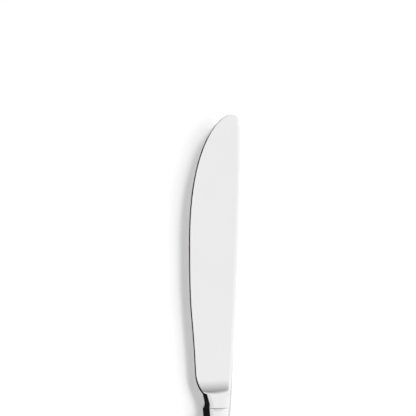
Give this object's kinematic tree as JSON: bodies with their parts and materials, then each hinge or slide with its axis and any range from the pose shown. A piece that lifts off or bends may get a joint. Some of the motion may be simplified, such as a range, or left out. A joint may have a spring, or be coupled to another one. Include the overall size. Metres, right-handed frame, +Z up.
{
  "type": "fruit knife",
  "caption": "Polished steel fruit knife with a round-tipped bellied blade, an oval bolster and a hollow handle that swells to a rounded butt.",
  "frame": {"origin": "middle of the bounding box in plan, on the surface that the knife lies on, under the underside of the butt", "axes": "+Y along the handle's axis to the blade's tip, +X to the spine, +Z up, square to the middle plane of the blade; the cutting edge faces -X"},
  "size_m": [0.0154, 0.172, 0.01],
  "materials": {
    "blade_steel": "polished",
    "handle_steel": "polished",
    "silver_braze": "polished",
    "bedding_cement": "matte"
  },
  "bodies": {
    "root": {"blade": "blade_steel", "upper_handle_shell": "handle_steel", "lower_handle_shell": "handle_steel", "seam_braze": "silver_braze", "tang_cement": "bedding_cement"}
  },
  "joints": []
}
